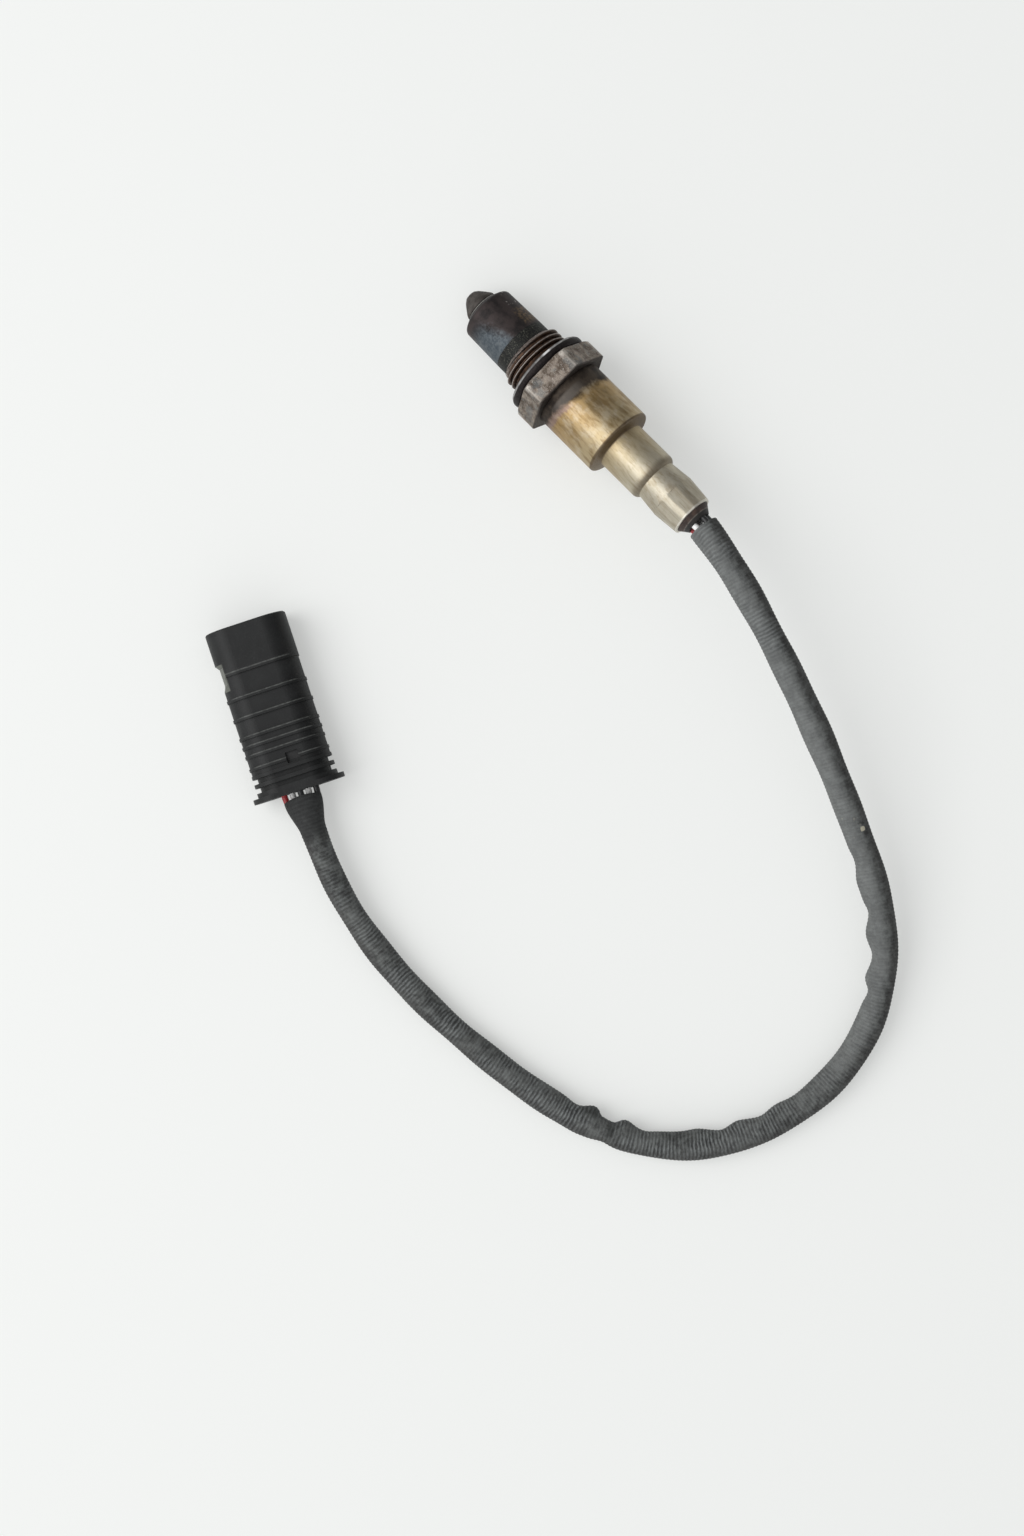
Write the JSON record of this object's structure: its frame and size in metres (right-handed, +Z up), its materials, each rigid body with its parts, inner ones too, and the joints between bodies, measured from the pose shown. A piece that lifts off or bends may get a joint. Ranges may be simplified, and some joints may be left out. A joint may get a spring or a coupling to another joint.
{
  "type": "oxygen sensor",
  "caption": "Exhaust oxygen sensor with a threaded, hexagonal steel body, a crimped steel sleeve and a ribbed wire harness that ends in an oval plug.",
  "frame": {"origin": "on the floor below the middle of the sensor, measured without its harness and plug", "axes": "+Z up; +X along the sensor in plan, from its cable end to its nose; +Y to the left of someone who looks along +X"},
  "size_m": [0.2119, 0.1494, 0.0277],
  "materials": {
    "burnt_tube": "heat-blackened steel",
    "burnt_nose": "heat-browned steel",
    "housing_steel": "worn, rust-stained steel",
    "ring_steel": "worn, rust-stained steel",
    "sleeve_steel": "straw-tinted stainless steel",
    "ceramic": "matt white alumina",
    "talc": "pressed talc",
    "element_ceramic": "sintered zirconia",
    "spring_steel": "spring steel",
    "contact_metal": "nickel alloy",
    "grommet_rubber": "black heat-resisting rubber",
    "harness_sleeving": "dark grey ribbed sleeving",
    "plug_plastic": "black moulded plastic",
    "seal_rubber": "black silicone rubber",
    "carrier_plastic": "grey moulded plastic",
    "terminal_metal": "tin-plated brass",
    "wire_white": "white insulation",
    "wire_black": "black insulation",
    "wire_grey": "dark grey insulation",
    "wire_red": "red insulation"
  },
  "bodies": {
    "root": {"cable_grommet": "grommet_rubber", "clamp_ring": "spring_steel", "connector_housing": "plug_plastic", "contact_black": "contact_metal", "contact_grey": "contact_metal", "contact_holder_lower": "ceramic", "contact_holder_upper": "ceramic", "contact_red": "contact_metal", "contact_white_a": "contact_metal", "contact_white_b": "contact_metal", "disc_spring": "spring_steel", "front_ceramic_bush": "ceramic", "harness_sleeve": "harness_sleeving", "housing": "housing_steel", "inner_protection_tube": "burnt_nose", "outer_protection_tube": "burnt_tube", "protective_sleeve": "sleeve_steel", "rear_cap": "plug_plastic", "rear_ceramic_bush": "ceramic", "sealing_ring": "ring_steel", "sensor_element": "element_ceramic", "talc_packing": "talc", "terminal_black": "terminal_metal", "terminal_carrier": "carrier_plastic", "terminal_grey": "terminal_metal", "terminal_red": "terminal_metal", "terminal_white_a": "terminal_metal", "terminal_white_b": "terminal_metal", "wire_black": "wire_black", "wire_grey": "wire_grey", "wire_red": "wire_red", "wire_seal": "seal_rubber", "wire_white_a": "wire_white", "wire_white_b": "wire_white"}
  },
  "joints": []
}
